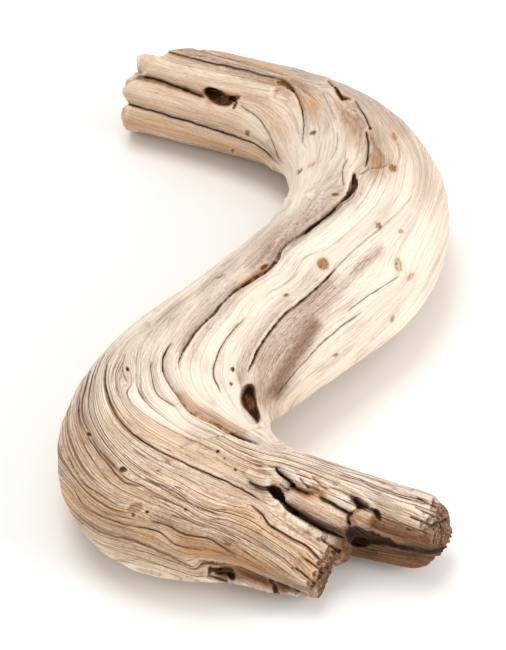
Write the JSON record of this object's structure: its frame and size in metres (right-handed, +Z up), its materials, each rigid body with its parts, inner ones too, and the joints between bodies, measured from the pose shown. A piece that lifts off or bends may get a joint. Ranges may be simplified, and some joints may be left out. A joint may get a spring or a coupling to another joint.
{
  "type": "piece of driftwood",
  "caption": "Weathered driftwood branch lying flat in an S, bleached and deeply cracked along the grain, split at its upper end and forked with broken limbs at its lower end.",
  "frame": {"origin": "middle of the bounding box in plan, on the surface that the wood rests on", "axes": "+X across the S, to the right in the picture; +Y along its length, away from the viewer; +Z up"},
  "size_m": [0.2136, 0.4106, 0.0831],
  "materials": {
    "driftwood": "bleached, dry and matt, with dark cracks"
  },
  "bodies": {
    "root": {"driftwood": "driftwood"}
  },
  "joints": []
}
